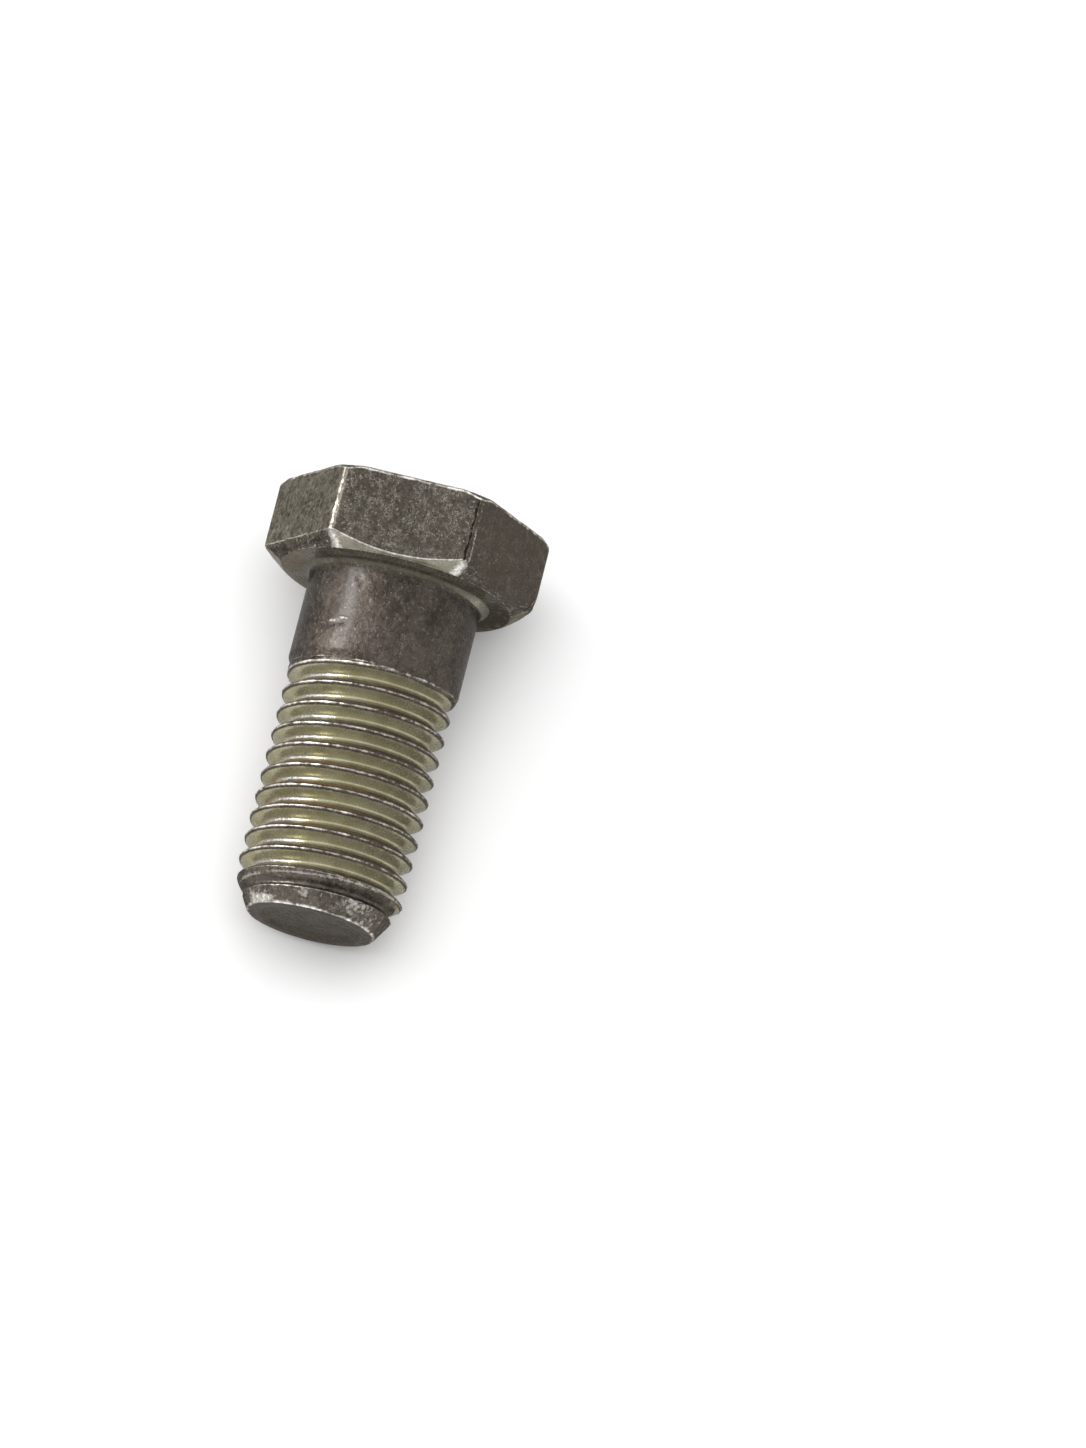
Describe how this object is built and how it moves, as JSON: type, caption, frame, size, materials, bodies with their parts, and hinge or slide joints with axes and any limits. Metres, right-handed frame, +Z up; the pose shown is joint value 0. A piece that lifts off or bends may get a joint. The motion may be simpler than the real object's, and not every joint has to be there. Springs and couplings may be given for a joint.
{
  "type": "pivot bolt",
  "caption": "Short hexagon-head steel bolt with a plain bearing shank, a full right-hand thread and a coned tip, used as the pivot pin of a lever or link.",
  "frame": {"origin": "centre of the bounding box on the floor that the bolt lies on", "axes": "+X along the bolt from the head to the tip, which dips as it lies, +Y across the head, +Z up"},
  "size_m": [0.0314, 0.019, 0.0172],
  "materials": {
    "plated_steel": "satin"
  },
  "bodies": {
    "root": {"pivot_bolt": "plated_steel"}
  },
  "joints": []
}
